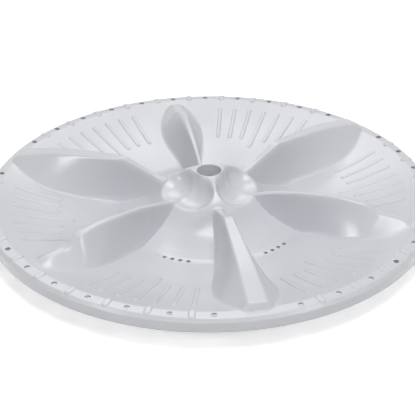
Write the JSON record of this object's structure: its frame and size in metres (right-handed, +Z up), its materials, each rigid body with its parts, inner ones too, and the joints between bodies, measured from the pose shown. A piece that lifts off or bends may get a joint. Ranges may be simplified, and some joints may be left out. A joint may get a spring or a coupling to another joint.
{
  "type": "washing machine pulsator",
  "caption": "Round dished pulsator with tall and low hollow vanes, a cupped hub, raised ribs, drain holes, a screw well and a splined drive socket underneath.",
  "frame": {"origin": "on the spin axis, in the plane of the ring that the part stands on", "axes": "+Z up along the spin axis, towards the screw well; -Y along one of the tall vanes"},
  "size_m": [0.34, 0.34, 0.0414],
  "materials": {
    "moulding": "glossy as moulded, very light cool grey"
  },
  "bodies": {
    "root": {"pulsator": "moulding"}
  },
  "joints": []
}
